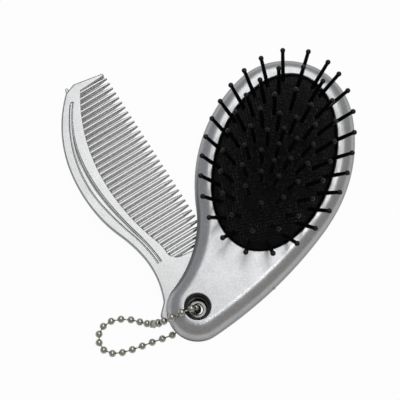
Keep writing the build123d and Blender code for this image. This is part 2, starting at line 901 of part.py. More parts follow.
# Pins: ball tip, shaft through the skin and flat head behind it
with BuildPart() as pin:
    Cylinder(
        pin_radius,
        pin_length + pin_head_drop,
        align=(Align.CENTER, Align.CENTER, Align.MIN),
    )
    with Locations((0, 0, pin_length + pin_head_drop)):
        Sphere(pin_ball_radius)
    Cylinder(
        pin_head_radius,
        pin_head_thickness,
        align=(Align.CENTER, Align.CENTER, Align.MIN),
    )
pin_solid = pin.part.moved(Location((0, 0, -pin_head_drop)))

for ring_name, places in pin_rings.items():
    with BuildPart() as ring:
        with Locations(*places):
            add(pin_solid)
    finish(ring, ring_name)


# Ball chain: beads along straight runs and tangent arcs, joined by short links
def corner_radii(points):
    """Radius at each corner, as large as its two runs allow."""
    radii = []
    for before, corner, after in zip(points, points[1:], points[2:]):
        run_in = corner - before
        run_out = after - corner
        shorter = min(run_in.length, run_out.length)
        radii.append(arc_share * shorter / tan(radians(run_in.get_angle(run_out) / 2)))
    return radii


def along_chain(share):
    """Where a bead sits as a share of the chain's length, the beads closer together round its bend."""
    first = tanh(-bunch_centre / bunch_reach)
    last = tanh((1 - bunch_centre) / bunch_reach)
    here = tanh((share - bunch_centre) / bunch_reach)
    gathered = bunch_strength * bunch_reach
    return share * (1 + gathered * (last - first)) - gathered * (here - first)


route = [Vector(pivot_x + x, pivot_y + y, z) for x, y, z in chain_route]
radii = corner_radii(route)
with BuildLine():
    chain_path = FilletPolyline(*route, radius=radii)
bead_count = round(chain_path.length / bead_mean_pitch)
bead_places = [chain_path.position_at(along_chain((i + 0.5) / bead_count)) for i in range(bead_count)]
print("chain length", round(chain_path.length, 2), "beads", bead_count)
print("chain corner radii", [round(radius, 2) for radius in radii])


def along_pair(first, second):
    """Plane at the middle of two beads, its z direction from one to the other."""
    return Plane((first + second) / 2, z_dir=second - first)


with BuildPart() as chain_beads:
    with Locations(*bead_places):
        Sphere(bead_radius)
finish(chain_beads, "chain_beads")

pairs = list(zip(bead_places, bead_places[1:] + bead_places[:1]))
connector_pair = pairs.pop(connector_bead)
with BuildPart() as chain_links:
    for first, second in pairs:
        with Locations(along_pair(first, second)):
            Cylinder(link_radius, (second - first).length - 2 * (bead_radius + link_gap))
finish(chain_links, "chain_links")

connector_inner = bead_radius + connector_gap
connector_outer = connector_inner + connector_wall
connector_length = (connector_pair[1] - connector_pair[0]).length + 2 * connector_overhang

with BuildPart() as chain_connector:
    with Locations(along_pair(*connector_pair)):
        Cylinder(connector_outer, connector_length)
        Cylinder(connector_inner, connector_length - 2 * connector_wall, mode=Mode.SUBTRACT)
        Cylinder(connector_mouth, connector_length, mode=Mode.SUBTRACT)
        Box(
            2 * connector_outer,
            connector_slit,
            connector_length,
            align=(Align.MIN, Align.CENTER, Align.CENTER),
            mode=Mode.SUBTRACT,
        )
finish(chain_connector, "chain_connector")
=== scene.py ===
from math import cos, exp, pi, radians, sin, sqrt, tanh
import bmesh
import bpy
from mathutils import Matrix, Vector


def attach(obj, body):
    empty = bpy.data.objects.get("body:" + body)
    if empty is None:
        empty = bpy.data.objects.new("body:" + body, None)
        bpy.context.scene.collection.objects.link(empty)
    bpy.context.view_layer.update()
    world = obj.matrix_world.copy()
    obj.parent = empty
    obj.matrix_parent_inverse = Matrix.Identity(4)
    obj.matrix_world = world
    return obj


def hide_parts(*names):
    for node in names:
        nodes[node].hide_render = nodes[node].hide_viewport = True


# Folding pocket brush with a swing-out comb and a ball chain, in metres.
# +Z leaves the back towards the pins and +Y runs along the head away from the pivot.

MM = 0.001

# Camera, in millimetres and degrees
CAMERA_PLACE = (4.0, -88.7, 290.3)
CAMERA_AIM = (-20.6, -17.15, 0.0)
CAMERA_HEADING = 17.8
LENS = 78.7
SENSOR = 36.0
CLIP_START = 0.01
CLIP_END = 20.0

# Ball chain, in millimetres: its route from the pivot's axis, with z from the resting surface
PIVOT = (-9.5, -54.0)
CHAIN_ROUTE = [
    (0.0, 0.0, 7.1),
    (0.0, 0.0, 16.0),
    (-6.2, -5.6, 16.3),
    (-8.9, -7.9, 13.9),
    (-12.2, -9.2, 7.6),
    (-16.0, -9.2, 3.2),
    (-20.6, -9.2, 1.25),
    (-25.0, -10.6, 1.25),
    (-28.4, -13.6, 1.25),
    (-28.9, -18.2, 1.25),
    (-26.0, -21.6, 1.25),
    (-21.6, -21.7, 1.25),
    (-16.4, -18.3, 1.25),
    (-10.6, -13.6, 1.25),
    (-5.2, -9.8, 1.25),
    (-2.0, -5.4, 1.25),
    (0.0, 0.0, 1.25),
    (0.0, 0.0, 6.9),
]
BEAD_COUNT = 28
BUNCH_CENTRE = 0.535
BUNCH_REACH = 0.09
BUNCH_STRENGTH = 0.2
BEAD_RADIUS = 1.2
BEAD_MOUTH = 0.42
BEAD_DIMPLE = 0.3
BEAD_LIP = 0.86
BEAD_LIP_DEPTH = 0.25
BEAD_FLOOR = 0.9
BEAD_SEGMENTS = 28
BEAD_BANDS = 14
LINK_RADIUS = 0.24
LINK_HIDDEN_END = 0.1
LINK_SEGMENTS = 12

# Clasp over two beads: the first one's number, the sheet and its clearance, the waist, mouth and
# reach as shares of a cup's radius, and the opening in degrees
CLASP_BEAD = 6
CLASP_WALL = 0.15
CLASP_GAP = 0.03
CLASP_WAIST = 0.55
CLASP_MOUTH = 0.5
CLASP_REACH = 0.9
CLASP_OPENING = 46.0
CLASP_STEPS = 22
CLASP_TURNS = 26

# Cushion, in millimetres and degrees
DOME_HALF_WIDTH = 19.4
DOME_HALF_LENGTH = 31.3
DOME_BASE = 12.6
DOME_RISE = 5.4
DOME_CELLS = 320
DOME_RIM = 0.08
CUSHION_SKIN = 1.2
FLANGE_WIDTH = 1.5
FLANGE_TOP = 12.3
FLANGE_BOTTOM = 11.25
UNDERSIDE_RINGS = 8
WEAVE_PITCH = 1.0
WEAVE_HEIGHT = 0.2
WEAVE_TURN = 27.0
PUCKER_HEIGHT = 0.22
PUCKER_RADIUS = 1.0

# Silver lacquer: sizes of its flakes and orange peel, and the painted shade that darkens the comb down
# its sides
FLAKE_SIZE = 0.32
PEEL_SIZE = 0.9
PAINT_METAL = 0.88
PAINT_EDGE = (0.5, 0.5, 0.5, 1)
UNSHADED_TOP = 0.5
SHADED_UNDERSIDE_SHARE = 0.5

# Pins, in millimetres and degrees
PIN_FOOT_RADIUS = 0.76
PIN_SHAFT_RADIUS = 0.68
PIN_NECK_RADIUS = 0.62
PIN_BALL_RADIUS = 0.86
PIN_HEAD_RADIUS = 1.0
PIN_HEAD_THICKNESS = 0.5
NECK_BLEND = 12.0
TIP_LATITUDE = 80.0
PIN_SEGMENTS = 18
PIN_BALL_BANDS = 8

# A pin's outline: the head as shares of its radius and thickness, then where the foot starts as a
# share of that thickness, and the shaft's places and widths as shares of its own
HEAD_OUTLINE = [(0.0, 0.0), (0.9, 0.0), (1.0, 0.25), (1.0, 0.75), (0.85, 1.0)]
FOOT_START = 1.2
PIN_TAPER_START = 0.2
PIN_TAPER_END = 0.32
SHAFT_MIDDLE = 0.6
SHAFT_SLIMMING = 0.97
NECK_START = 0.97
NECK_FLARE = 1.02

# Finding a pin's axis: the shares of head and ball that are measured, how close corners are one
# corner, and the steps up to the skin
HEAD_BAND = 0.3
BALL_BAND = 1.4
AXIS_ROUNDS = 4
WELD_DISTANCE = 0.0001 * MM
WALK_STEP = 0.1
WALK_STEPS = 60

# Floor, in metres, and its share of plain white for the camera and in reflections
FLOOR_RADIUS = 3.0
FLOOR_SEGMENTS = 96
FLOOR_DROP = 0.02 * MM
MOTTLE_SIZE = 0.2
PAPER_DARK = (0.90, 0.90, 0.90)
PAPER_LIGHT = (0.92, 0.92, 0.92)
CAMERA_SHARE = 0.96
GLOSSY_SHARE = 0.45

# Lamps: place in metres, azimuth of the long side, size in metres, watts
LAMPS = {
    "top_softbox": ((-0.12, 0.38, 0.72), 98, (0.46, 0.76), 1.75),
    "rim_softbox": ((0.17, 0.075, 0.72), 65, (0.09, 0.44), 0.6),
}

# Surroundings: the direction of their warm side, and the greys of both sides
WARM_SIDE = (0.8, -0.6, 0)
COOL_GREY = (0.315, 0.33, 0.35)
WARM_GREY = (0.345, 0.33, 0.31)

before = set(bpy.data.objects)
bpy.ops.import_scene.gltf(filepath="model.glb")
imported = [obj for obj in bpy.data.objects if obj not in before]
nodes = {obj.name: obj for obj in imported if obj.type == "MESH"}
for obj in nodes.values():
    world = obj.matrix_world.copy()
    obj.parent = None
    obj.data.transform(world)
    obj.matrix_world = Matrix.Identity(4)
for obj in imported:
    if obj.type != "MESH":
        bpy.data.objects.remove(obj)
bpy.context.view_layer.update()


def metres(point):
    """A point given in millimetres, in metres."""
    return Vector(point) * MM


# Camera
def add_camera():
    """Camera above the brush, leaning towards the pivot and turned about its own axis."""
    place = metres(CAMERA_PLACE)
    forward = (metres(CAMERA_AIM) - place).normalized()
    heading = radians(CAMERA_HEADING)
    right = forward.cross(Vector((-sin(heading), cos(heading), 0))).normalized()
    up = right.cross(forward)
    data = bpy.data.cameras.new("camera")
    data.sensor_width = SENSOR
    data.lens = LENS
    data.clip_start = CLIP_START
    data.clip_end = CLIP_END
    camera = bpy.data.objects.new("camera", data)
    camera.matrix_world = Matrix.Translation(place) @ Matrix((right, up, -forward)).transposed().to_4x4()
    bpy.context.scene.collection.objects.link(camera)
    bpy.context.scene.camera = camera


add_camera()


# Node materials
def add_node(tree, kind, inputs=None, **settings):
    """A shader node with its settings, and its inputs set to values or joined to sockets."""
    made = tree.nodes.new(kind)
    for key, value in settings.items():
        setattr(made, key, value)
    for key, value in (inputs or {}).items():
        if isinstance(value, bpy.types.NodeSocket):
            tree.links.new(value, made.inputs[key])
        else:
            made.inputs[key].default_value = value
    return made


def new_material(name):
    """Empty node material for one of the record's slots, and the coordinates of the object it is on."""
    material = bpy.data.materials.new(f"{name}_finish")
    material["slot"] = name
    material.use_nodes = True
    tree = material.node_tree
    tree.nodes.clear()
    place = add_node(tree, "ShaderNodeTexCoord").outputs["Object"]
    return material, tree, place


def noise_at(tree, place, size, detail=2.0, roughness=0.5):
    """Noise whose features measure about size metres, from 0 to 1."""
    noise = add_node(
        tree,
        "ShaderNodeTexNoise",
        {"Vector": place, "Scale": 1 / size, "Detail": detail, "Roughness": roughness},
    )
    return noise.outputs["Fac"]


def flakes_at(tree, place, size):
    """One random grey for each cell of about size metres."""
    cells = add_node(tree, "ShaderNodeTexVoronoi", {"Vector": place, "Scale": 1 / size})
    return add_node(tree, "ShaderNodeSeparateColor", {"Color": cells.outputs["Color"]}).outputs["Red"]


def spread(tree, value, low, high, start=0.0, end=1.0):
    """A value from start to end mapped onto low to high."""
    mapped = add_node(
        tree,
        "ShaderNodeMapRange",
        {"Value": value, "From Min": start, "From Max": end, "To Min": low, "To Max": high},
    )
    return mapped.outputs["Result"]


def colours_between(tree, share, first, second):
    """A colour that runs from first to second as share runs from 0 to 1."""
    ramp = add_node(tree, "ShaderNodeValToRGB", {"Fac": share})
    ramp.color_ramp.elements[0].color = (*first, 1)
    ramp.color_ramp.elements[1].color = (*second, 1)
    return ramp.outputs["Color"]


def bump_from(tree, height, strength, distance, below=None):
    """Bump of a height, over another bump if one is given."""
    inputs = {"Height": height, "Strength": strength, "Distance": distance}
    if below:
        inputs["Normal"] = below
    return add_node(tree, "ShaderNodeBump", inputs).outputs["Normal"]


def shade(tree, **sockets):
    """Principled surface with named sockets, underscores for spaces."""
    inputs = {key.replace("_", " "): value for key, value in sockets.items()}
    shader = add_node(tree, "ShaderNodeBsdfPrincipled", inputs)
    add_node(tree, "ShaderNodeOutputMaterial", {"Surface": shader.outputs["BSDF"]})


def painted_shade_below(tree, place, colour, node):
    """A colour with painted shade, darkening from the top of a node down to its underside."""
    heights = [corner[2] for corner in node.bound_box]
    height = add_node(tree, "ShaderNodeSeparateXYZ", {"Vector": place}).outputs["Z"]
    shade_end = max(heights) - UNSHADED_TOP * MM
    # Painted shade: the colour darkens from just under the node's top down to its lowest point.
    shade_share = spread(tree, height, low=SHADED_UNDERSIDE_SHARE, high=1.0, start=min(heights), end=shade_end)
    return add_node(
        tree, "ShaderNodeVectorMath", {0: colour, "Scale": shade_share}, operation="SCALE"
    ).outputs["Vector"]


def silver_paint(name, dark, light, roughness, peel, flake_share, shaded_node=None):
    """Sprayed silver lacquer over plastic: fine flakes, soft clouds and a little orange peel, with
    painted shade down the sides of a node if one is given.
    """
    material, tree, place = new_material(name)
    flakes = flakes_at(tree, place, size=FLAKE_SIZE * MM)
    clouds = noise_at(tree, place, size=5 * MM, detail=3)
    grain = noise_at(tree, place, size=PEEL_SIZE * MM)
    share = add_node(
        tree, "ShaderNodeMath", {0: flakes, 1: flake_share}, operation="MULTIPLY"
    ).outputs[0]
    share = add_node(
        tree, "ShaderNodeMath", {0: clouds, 1: 1 - flake_share, 2: share}, operation="MULTIPLY_ADD"
    ).outputs[0]
    colour = colours_between(tree, share, dark, light)
    if shaded_node:
        # Painted shade down the comb's tooth sides and underside.
        colour = painted_shade_below(tree, place, colour, shaded_node)
    gloss = spread(tree, grain, low=roughness - 0.05, high=roughness + 0.07)
    wavy = bump_from(tree, grain, strength=peel, distance=0.06 * MM)
    normal = bump_from(tree, flakes, strength=peel, distance=0.02 * MM, below=wavy)
    shade(
        tree,
        Base_Color=colour,
        Metallic=PAINT_METAL,
        Roughness=gloss,
        Normal=normal,
        Specular_Tint=PAINT_EDGE,
    )
    return material


def black_plastic(name, colour, roughness, shine):
    """Moulded black plastic with faint swirls and handling marks."""
    material, tree, place = new_material(name)
    swirl = noise_at(tree, place, size=2.5 * MM, detail=4)
    marks = noise_at(tree, place, size=0.7 * MM)
    lift = tuple(channel * 2 for channel in colour)
    tint = colours_between(tree, swirl, colour, lift)
    gloss = spread(tree, marks, low=roughness - 0.04, high=roughness + 0.08)
    normal = bump_from(tree, swirl, strength=0.05, distance=0.1 * MM)
    shade(tree, Base_Color=tint, Roughness=gloss, Normal=normal, Specular_IOR_Level=shine)
    return material


def plated_metal(name, dark, light, roughness):
    """Nickel plating, a little darker and duller in places."""
    material, tree, place = new_material(name)
    tarnish = noise_at(tree, place, size=1.6 * MM, detail=4, roughness=0.6)
    wear = noise_at(tree, place, size=0.5 * MM)
    colour = colours_between(tree, tarnish, dark, light)
    gloss = spread(tree, wear, low=roughness - 0.05, high=roughness + 0.1)
    normal = bump_from(tree, tarnish, strength=0.08, distance=0.08 * MM)
    shade(tree, Base_Color=colour, Metallic=1.0, Roughness=gloss, Normal=normal)
    return material


def matt_rubber(name, dark, light, shine):
    """Black moulded rubber with a fine grain, with painted sparkle highlights: lighter specks on the
    grain's high spots, in patches.
    """
    material, tree, place = new_material(name)
    grain = noise_at(tree, place, size=0.8 * MM, detail=3)
    clouds = noise_at(tree, place, size=7 * MM)
    patches = spread(tree, clouds, low=0.2, high=1, start=0.35, end=0.65)
    # Painted highlight: lighter specks on the grain's high spots, in patches, stand in for the pad's
    # sparkle.
    painted_sparkle = spread(tree, grain, low=0, high=1, start=0.55, end=0.75)
    share = add_node(
        tree, "ShaderNodeMath", {0: painted_sparkle, 1: patches}, operation="MULTIPLY"
    ).outputs[0]
    colour = colours_between(tree, share, dark, light)
    gloss = spread(tree, grain, low=0.06, high=0.16)
    normal = bump_from(tree, grain, strength=0.8, distance=0.3 * MM)
    shade(tree, Base_Color=colour, Roughness=gloss, Normal=normal, Specular_IOR_Level=shine)
    return material


def moulded_plastic(name, dark, light, roughness):
    """Plain moulded plastic with a fine texture."""
    material, tree, place = new_material(name)
    cloud = noise_at(tree, place, size=3 * MM, detail=3)
    marks = noise_at(tree, place, size=0.6 * MM)
    texture = noise_at(tree, place, size=0.25 * MM)
    colour = colours_between(tree, cloud, dark, light)
    gloss = spread(tree, marks, low=roughness - 0.05, high=roughness + 0.08)
    normal = bump_from(tree, texture, strength=0.15, distance=0.03 * MM)
    shade(tree, Base_Color=colour, Roughness=gloss, Normal=normal)
    return material


shell_silver = silver_paint(
    "shell_silver",
    dark=(0.40, 0.405, 0.41),
    light=(0.64, 0.645, 0.655),
    roughness=0.29,
    peel=0.10,
    flake_share=0.45,
)
# The comb's colour carries painted shade, darker down its sides.
comb_silver = silver_paint(
    "comb_silver",
    dark=(0.48, 0.483, 0.485),
    light=(0.60, 0.603, 0.605),
    roughness=0.25,
    peel=0.03,
    flake_share=0.1,
    shaded_node=nodes["comb"],
)
bush_black = black_plastic(
    "bush_black", colour=(0.002, 0.002, 0.0023), roughness=0.16, shine=0.3
)
pin_black = black_plastic(
    "pin_black", colour=(0.0025, 0.0025, 0.003), roughness=0.16, shine=0.3
)
# The light colour is the painted sparkle highlight on the pad's grain.
cushion_rubber = matt_rubber(
    "cushion_rubber", dark=(0.0005, 0.0005, 0.0006), light=(0.03, 0.03, 0.032), shine=0.14
)
chain_nickel = plated_metal(
    "chain_nickel", dark=(0.36, 0.35, 0.31), light=(0.60, 0.59, 0.53), roughness=0.2
)
eyelet_nickel = plated_metal(
    "eyelet_nickel", dark=(0.22, 0.22, 0.21), light=(0.42, 0.42, 0.41), roughness=0.16
)
screw_steel = plated_metal(
    "screw_steel", dark=(0.40, 0.40, 0.41), light=(0.60, 0.60, 0.61), roughness=0.28
)
inner_plastic = moulded_plastic(
    "inner_plastic", dark=(0.30, 0.30, 0.31), light=(0.36, 0.36, 0.37), roughness=0.45
)
spacer_nylon = moulded_plastic(
    "spacer_nylon", dark=(0.70, 0.69, 0.66), light=(0.76, 0.75, 0.72), roughness=0.4
)

NODE_FINISH = {
    "front_shell": shell_silver,
    "back_cover": shell_silver,
    "comb": comb_silver,
    "inner_plate": inner_plastic,
    "pivot_bush": bush_black,
    "eyelet": eyelet_nickel,
    "eyelet_washer": screw_steel,
    "cover_screws": screw_steel,
    "plate_screws": screw_steel,
    "upper_spacer": spacer_nylon,
    "lower_spacer": spacer_nylon,
}


def dress_nodes():
    """The CAD pieces whose shape is right get their finish."""
    for name, material in NODE_FINISH.items():
        for slot in nodes[name].material_slots:
            slot.material = material


# Mesh making
def add_piece(name, mesh_maker, body, material):
    """A new piece made by mesh_maker(bm), smooth, riding on a body."""
    bm = bmesh.new()
    mesh_maker(bm)
    bmesh.ops.recalc_face_normals(bm, faces=bm.faces)
    data = bpy.data.meshes.new(name)
    bm.to_mesh(data)
    bm.free()
    data.polygons.foreach_set("use_smooth", [True] * len(data.polygons))
    data.materials.append(material)
    piece = bpy.data.objects.new(name, data)
    bpy.context.scene.collection.objects.link(piece)
    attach(piece, body)
    return piece


def lathe(bm, profile, place, segments):
    """Closed form turned about z from (radius, z) points that start and end on the axis."""
    rings = []
    for radius, z in profile:
        if radius == 0:
            rings.append([bm.verts.new(place @ Vector((0, 0, z)))])
            continue
        ring = []
        for i in range(segments):
            turn = 2 * pi * i / segments
            ring.append(bm.verts.new(place @ Vector((radius * cos(turn), radius * sin(turn), z))))
        rings.append(ring)
    for lower, upper in zip(rings, rings[1:]):
        join_rings(bm, lower, upper)


def join_rings(bm, lower, upper):
    """Faces between two closed rings, either of which may be a single point."""
    count = max(len(lower), len(upper))
    for i in range(count):
        j = (i + 1) % count
        corners = []
        for ring, k in ((lower, i), (lower, j), (upper, j), (upper, i)):
            corner = ring[k % len(ring)]
            if corner not in corners:
                corners.append(corner)
        bm.faces.new(corners)


def arc_points(radius, start, end, steps):
    """(radius, z) points of a circle's arc, from one latitude to another, in degrees."""
    points = []
    for i in range(steps + 1):
        latitude = radians(start + (end - start) * i / steps)
        points.append((radius * cos(latitude), radius * sin(latitude)))
    return points


# Ball chain
def route_line(points):
    """Points read from the smooth curve that has the route's points as its control points."""
    curve = bpy.data.curves.new("chain_route", "CURVE")
    curve.dimensions = "3D"
    spline = curve.splines.new("NURBS")
    spline.points.add(len(points) - 1)
    for point, place in zip(spline.points, points):
        point.co = (*place, 1)
    spline.order_u = 3
    spline.use_endpoint_u = True
    spline.resolution_u = 16
    holder = bpy.data.objects.new("chain_route", curve)
    line = bpy.data.meshes.new_from_object(holder)
    read = [vertex.co.copy() for vertex in line.vertices]
    bpy.data.objects.remove(holder)
    bpy.data.meshes.remove(line)
    bpy.data.curves.remove(curve)
    return read


def along_chain(share):
    """Where a bead sits as a share of the chain's length, the beads closer together round its bend."""
    first = tanh(-BUNCH_CENTRE / BUNCH_REACH)
    last = tanh((1 - BUNCH_CENTRE) / BUNCH_REACH)
    here = tanh((share - BUNCH_CENTRE) / BUNCH_REACH)
    gathered = BUNCH_STRENGTH * BUNCH_REACH
    return share * (1 + gathered * (last - first)) - gathered * (here - first)


def places_along(line, count):
    """Places of the beads along a line, half a bead's share in from both of its ends."""
    lengths = [(b - a).length for a, b in zip(line, line[1:])]
    wanted = [sum(lengths) * along_chain((i + 0.5) / count) for i in range(count)]
    found = []
    passed = 0.0
    for (start, end), length in zip(zip(line, line[1:]), lengths):
        while len(found) < count and wanted[len(found)] <= passed + length:
            found.append(start.lerp(end, (wanted[len(found)] - passed) / length))
        passed += length
    return found


def facing(place, direction):
    """Matrix that stands at place with its z along direction."""
    return Matrix.Translation(place) @ direction.to_track_quat("Z", "Y").to_matrix().to_4x4()


def bead_profile():
    """Hollow bead with a small dimpled mouth at each pole."""
    mouth = latitude_at(BEAD_MOUTH / BEAD_RADIUS)
    ball = [(r * MM, z * MM) for r, z in arc_points(BEAD_RADIUS, -mouth, mouth, BEAD_BANDS)]
    mouth_radius, mouth_height = ball[-1]
    lip_radius = mouth_radius * BEAD_LIP
    lip_height = mouth_height - BEAD_LIP_DEPTH * BEAD_DIMPLE * MM
    floor = mouth_height - BEAD_DIMPLE * MM
    upper = [(lip_radius, lip_height), (lip_radius * BEAD_FLOOR, floor), (0, floor)]
    lower = [(radius, -z) for radius, z in reversed(upper)]
    return lower + ball + upper


def latitude_at(distance):
    """Latitude, in degrees, at this distance from the pole along a unit sphere."""
    return 90 - distance * 180 / pi


def link_profile(length):
    """Round wire of one length about its middle."""
    radius = LINK_RADIUS * MM
    return [(0, -length / 2), (radius, -length / 2), (radius, length / 2), (0, length / 2)]


def make_chain():
    """The looped ball chain and the clasp that closes it."""
    route = [metres((PIVOT[0] + x, PIVOT[1] + y, z)) for x, y, z in CHAIN_ROUTE]
    line = route_line(route)
    beads = places_along(line, BEAD_COUNT)
    pairs = list(zip(beads, beads[1:] + beads[:1]))
    inset = 2 * (BEAD_RADIUS - BEAD_DIMPLE - LINK_HIDDEN_END) * MM

    def beads_and_links(bm):
        for (before, _), (here, after) in zip([pairs[-1], *pairs], pairs):
            lathe(bm, bead_profile(), facing(here, after - before), BEAD_SEGMENTS)
        for i, (first, second) in enumerate(pairs):
            if i != CLASP_BEAD:
                span = second - first
                place = facing((first + second) / 2, span)
                lathe(bm, link_profile(span.length - inset), place, LINK_SEGMENTS)

    chain = add_piece("ball_chain", beads_and_links, "chain", chain_nickel)
    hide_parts("chain_beads", "chain_links")

    first, second = pairs[CLASP_BEAD]
    connector = add_piece(
        "chain_clasp", lambda bm: clasp_shell(bm, first, second), "chain", chain_nickel
    )
    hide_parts("chain_connector")


def clasp_shell(bm, first, second):
    """Folded sheet sleeve round two beads, waisted between them and open along one side."""
    span = second - first
    place = facing((first + second) / 2, span)
    wall = CLASP_WALL * MM
    cup = (BEAD_RADIUS + CLASP_GAP) * MM
    half = span.length / 2
    reach = half + CLASP_REACH * cup
    inside = []
    for i in range(CLASP_STEPS + 1):
        height = (-1 + 2 * i / CLASP_STEPS) * reach
        from_bead = abs(abs(height) - half) / cup
        bulge = sqrt(max(0.0, 1 - min(1.0, from_bead) ** 2))
        lowest = CLASP_MOUTH if abs(height) > half else CLASP_WAIST
        inside.append((cup * max(lowest, bulge), height))
    outside = [(radius + wall, z) for radius, z in reversed(inside)]
    opening = radians(CLASP_OPENING)
    rings = []
    for i in range(CLASP_TURNS + 1):
        turn = opening / 2 + (2 * pi - opening) * i / CLASP_TURNS
        ring = [
            bm.verts.new(place @ Vector((radius * cos(turn), radius * sin(turn), z)))
            for radius, z in inside + outside
        ]
        rings.append(ring)
    for lower, upper in zip(rings, rings[1:]):
        join_rings(bm, lower, upper)
    bm.faces.new(rings[0])
    bm.faces.new(list(reversed(rings[-1])))


make_chain()


# Cushion
def pin_axes(node):
    """Head's underside, tip and direction of each pin in a CAD node."""
    bm = bmesh.new()
    bm.from_mesh(nodes[node].data)
    bmesh.ops.remove_doubles(bm, verts=bm.verts, dist=WELD_DISTANCE)
    unseen = set(bm.verts)
    axes = []
    while unseen:
        stack = [unseen.pop()]
        island = []
        while stack:
            vertex = stack.pop()
            island.append(vertex.co.copy())
            for edge in vertex.link_edges:
                other = edge.other_vert(vertex)
                if other in unseen:
                    unseen.remove(other)
                    stack.append(other)
        axes.append(axis_of(island))
    bm.free()
    return axes


def axis_of(points):
    """Lowest and highest point on the axis of an upright pin made of these points."""
    low = min(points, key=lambda point: point.z)
    high = max(points, key=lambda point: point.z)
    direction = (high - low).normalized()
    for _ in range(AXIS_ROUNDS):
        heights = [point.dot(direction) for point in points]
        bottom, top = min(heights), max(heights)
        head_end = bottom + HEAD_BAND * PIN_HEAD_THICKNESS * MM
        ball_start = top - BALL_BAND * PIN_BALL_RADIUS * MM
        foot = middle_of([point for point, height in zip(points, heights) if height < head_end])
        ball = middle_of([point for point, height in zip(points, heights) if height > ball_start])
        direction = (ball - foot).normalized()
    return foot, foot + direction * (top - foot.dot(direction)), direction


def middle_of(points):
    """Middle of the box around some points."""
    low = Vector([min(point[i] for point in points) for i in range(3)])
    high = Vector([max(point[i] for point in points) for i in range(3)])
    return (low + high) / 2


PIN_NODES = [
    "pins_outer_ring",
    "pins_second_ring",
    "pins_third_ring",
    "pins_fourth_ring",
    "pins_centre_row",
]
pins = {node: pin_axes(node) for node in PIN_NODES}


def dome_height(x, y):
    """Height of the plain dome over a place in its oval."""
    share = (x / (DOME_HALF_WIDTH * MM)) ** 2 + (y / (DOME_HALF_LENGTH * MM)) ** 2
    return (DOME_BASE + DOME_RISE * sqrt(max(0.0, 1 - share))) * MM, share


def where_pin_leaves(foot, direction):
    """Point where a pin's axis leaves the dome."""
    point = foot.copy()
    for _ in range(WALK_STEPS):
        height, _ = dome_height(point.x, point.y)
        if point.z >= height:
            break
        point += direction * WALK_STEP * MM
    return point


pin_feet = [where_pin_leaves(foot, direction) for axes in pins.values() for foot, _, direction in axes]


def weave(x, y):
    """Height of the moulded mesh pattern, from -1 to 1."""
    turn = radians(WEAVE_TURN)
    along = (x * cos(turn) + y * sin(turn)) / (WEAVE_PITCH * MM)
    across = (y * cos(turn) - x * sin(turn)) / (WEAVE_PITCH * MM)
    return 0.5 * (cos(2 * pi * along) + cos(2 * pi * across))


def disc_place(a, b):
    """Place in the unit disc for a place in the square from -1 to 1, areas kept in proportion."""
    if a == 0 and b == 0:
        return 0.0, 0.0
    if abs(a) > abs(b):
        radius, turn = a, pi / 4 * b / a
    else:
        radius, turn = b, pi / 2 - pi / 4 * a / b
    return radius * cos(turn), radius * sin(turn)


def dome_point(u, v):
    """Point of the textured dome over a place in the unit disc."""
    x = u * DOME_HALF_WIDTH * MM
    y = v * DOME_HALF_LENGTH * MM
    z, share = dome_height(x, y)
    normal = Vector((
        DOME_RISE**2 * x / DOME_HALF_WIDTH**2,
        DOME_RISE**2 * y / DOME_HALF_LENGTH**2,
        z - DOME_BASE * MM,
    ))
    normal = normal.normalized() if normal.length > 0 else Vector((0, 0, 1))
    point = Vector((x, y, z))
    fade = min(1.0, (1 - share) / DOME_RIM)
    lift = WEAVE_HEIGHT * weave(x, y)
    near = min((point - foot).length_squared for foot in pin_feet)
    pucker = exp(-near / (PUCKER_RADIUS * MM) ** 2)
    lift = lift * (1 - pucker) + PUCKER_HEIGHT * pucker
    return point + normal * lift * fade * MM


def make_cushion():
    """The domed rubber pad, textured on top, with its flange and hollow underside."""
    cells = DOME_CELLS
    skirt = [
        (0.0, FLANGE_TOP),
        (FLANGE_WIDTH, FLANGE_TOP),
        (FLANGE_WIDTH, FLANGE_BOTTOM),
        (-CUSHION_SKIN, FLANGE_BOTTOM),
        (-CUSHION_SKIN, DOME_BASE),
    ]

    def shape(bm):
        grid = []
        for i in range(cells + 1):
            row = []
            for j in range(cells + 1):
                u, v = disc_place(-1 + 2 * i / cells, -1 + 2 * j / cells)
                row.append(bm.verts.new(dome_point(u, v)))
            grid.append(row)
        for i in range(cells):
            for j in range(cells):
                bm.faces.new((grid[i][j], grid[i + 1][j], grid[i + 1][j + 1], grid[i][j + 1]))
        rim = [grid[i][0] for i in range(cells)]
        rim += [grid[cells][j] for j in range(cells)]
        rim += [grid[i][cells] for i in range(cells, 0, -1)]
        rim += [grid[0][j] for j in range(cells, 0, -1)]
        directions = [vertex.co.copy() for vertex in rim]
        last = rim
        for reach, z in skirt:
            wide = 1 + reach / DOME_HALF_WIDTH
            long = 1 + reach / DOME_HALF_LENGTH
            ring = [bm.verts.new((p.x * wide, p.y * long, z * MM)) for p in directions]
            join_rings(bm, last, ring)
            last = ring
        for k in range(1, UNDERSIDE_RINGS):
            latitude = pi / 2 * k / UNDERSIDE_RINGS
            share = cos(latitude)
            height = DOME_BASE + (DOME_RISE - CUSHION_SKIN) * sin(latitude)
            wide = share * (1 - CUSHION_SKIN / DOME_HALF_WIDTH)
            long = share * (1 - CUSHION_SKIN / DOME_HALF_LENGTH)
            ring = [bm.verts.new((p.x * wide, p.y * long, height * MM)) for p in directions]
            join_rings(bm, last, ring)
            last = ring
        top = bm.verts.new((0, 0, (DOME_BASE + DOME_RISE - CUSHION_SKIN) * MM))
        join_rings(bm, last, [top])

    cushion = add_piece("cushion_pad", shape, "pad", cushion_rubber)
    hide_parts("cushion")


